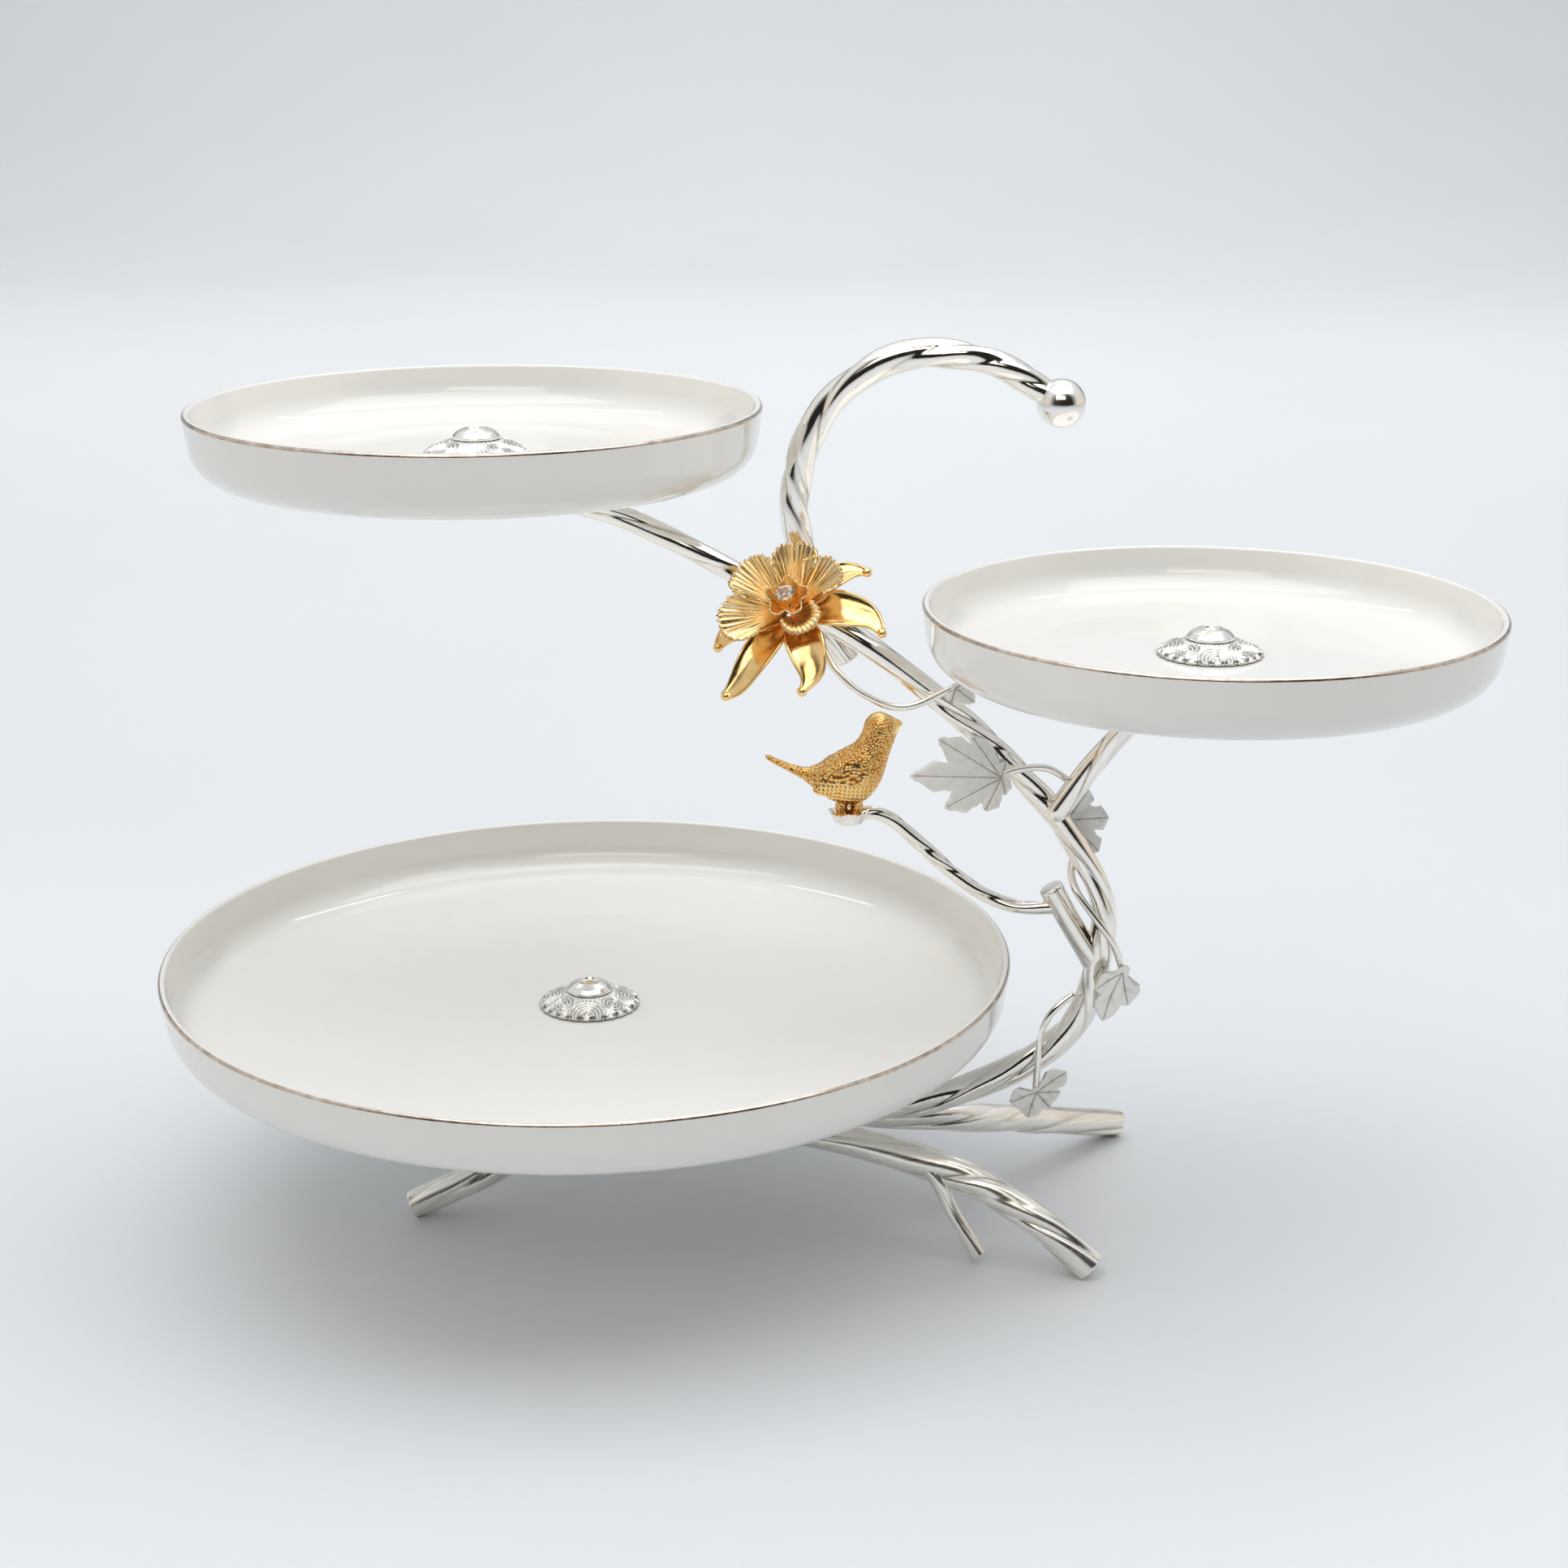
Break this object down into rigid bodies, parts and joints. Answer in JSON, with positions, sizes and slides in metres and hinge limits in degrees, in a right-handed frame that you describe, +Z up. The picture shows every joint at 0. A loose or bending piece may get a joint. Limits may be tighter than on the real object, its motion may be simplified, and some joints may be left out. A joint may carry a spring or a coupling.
{
  "type": "tiered cake stand",
  "caption": "Branch-shaped silver cake stand: round white dishes on studs at staggered heights, hooked carrying handle, gold flower and bird, splayed rod legs.",
  "frame": {"origin": "on the table, under the middle of the stand's bounding box", "axes": "+X along the stand's width, towards the right-hand plate; +Y towards the back; +Z up"},
  "size_m": [0.4742, 0.3096, 0.3278],
  "materials": {
    "porcelain": "glossy white glaze with a narrow platinum line on the rim",
    "silver": "bright silver plate over a twisted-bark casting",
    "satin_silver": "satin silver plate",
    "silver_trim": "bright silver plate, stamped scrolls",
    "gold": "gold plate, polished with matt texture",
    "stud_brass": "machined thread",
    "rubber": "matt",
    "clear_plastic": "clear",
    "crystal": "faceted clear crystal"
  },
  "bodies": {
    "frame": {"back_leg": "satin_silver", "bird": "gold", "bird_branch": "silver", "bird_seat": "silver", "bottom_rubber_washer": "rubber", "bottom_seat": "silver", "bottom_stud": "stud_brass", "crystal": "crystal", "curled_leaf": "satin_silver", "cut_twig": "silver", "flower_cup": "gold", "flower_petals": "gold", "flower_sepals": "gold", "flower_stem": "silver", "flower_vine": "silver", "folded_leaf": "satin_silver", "front_leg": "satin_silver", "handle": "silver", "handle_ball": "silver", "hanging_leaf": "satin_silver", "hanging_vine": "silver", "left_leg": "satin_silver", "left_rubber_washer": "rubber", "left_seat": "silver", "left_stud": "stud_brass", "leg_twig": "satin_silver", "loop_vine": "silver", "maple_leaf": "satin_silver", "maple_vine": "silver", "right_branch": "silver", "right_rubber_washer": "rubber", "right_seat": "silver", "right_stud": "stud_brass", "trunk_leaf": "satin_silver", "trunk_lower": "silver", "trunk_middle": "silver", "trunk_upper": "silver"},
    "bottom_plate": {"bottom_plate": "porcelain"},
    "bottom_rosette": {"bottom_rosette": "silver_trim", "bottom_clear_washer": "clear_plastic"},
    "bottom_cap_nut": {"bottom_cap_nut": "silver_trim"},
    "left_plate": {"left_plate": "porcelain"},
    "left_rosette": {"left_rosette": "silver_trim", "left_clear_washer": "clear_plastic"},
    "left_cap_nut": {"left_cap_nut": "silver_trim"},
    "right_plate": {"right_plate": "porcelain"},
    "right_rosette": {"right_rosette": "silver_trim", "right_clear_washer": "clear_plastic"},
    "right_cap_nut": {"right_cap_nut": "silver_trim"}
  },
  "joints": [
    {"name": "bottom_plate_turn", "type": "hinge", "parent": "frame", "child": "bottom_plate", "pos_m": [-0.08225, 0, 0.0821], "axis": [0, 0, 1], "continuous": true},
    {"name": "bottom_cap_lift", "type": "slide", "parent": "frame", "child": "bottom_rosette", "axis": [0, 0, 1], "range_m": [0, 0.007]},
    {"name": "bottom_nut_turn", "type": "hinge", "parent": "bottom_rosette", "child": "bottom_cap_nut", "pos_m": [-0.08225, 0, 0.0881], "axis": [0, 0, 1], "range_deg": [0, 2520]},
    {"name": "left_plate_turn", "type": "hinge", "parent": "frame", "child": "left_plate", "pos_m": [-0.11745, 0.0034, 0.2867], "axis": [0, 0, 1], "continuous": true},
    {"name": "left_cap_lift", "type": "slide", "parent": "frame", "child": "left_rosette", "axis": [0, 0, 1], "range_m": [0, 0.007]},
    {"name": "left_nut_turn", "type": "hinge", "parent": "left_rosette", "child": "left_cap_nut", "pos_m": [-0.11745, 0.0034, 0.2927], "axis": [0, 0, 1], "range_deg": [0, 2520]},
    {"name": "right_plate_turn", "type": "hinge", "parent": "frame", "child": "right_plate", "pos_m": [0.13725, -0.0231, 0.2216], "axis": [0, 0, 1], "continuous": true},
    {"name": "right_cap_lift", "type": "slide", "parent": "frame", "child": "right_rosette", "axis": [0, 0, 1], "range_m": [0, 0.007]},
    {"name": "right_nut_turn", "type": "hinge", "parent": "right_rosette", "child": "right_cap_nut", "pos_m": [0.13725, -0.0231, 0.2276], "axis": [0, 0, 1], "range_deg": [0, 2520]}
  ],
  "couplings": [
    {"joint": "bottom_cap_lift", "follows": "bottom_nut_turn", "m_per_rad": 0.00015915},
    {"joint": "left_cap_lift", "follows": "left_nut_turn", "m_per_rad": 0.00015915},
    {"joint": "right_cap_lift", "follows": "right_nut_turn", "m_per_rad": 0.00015915}
  ]
}
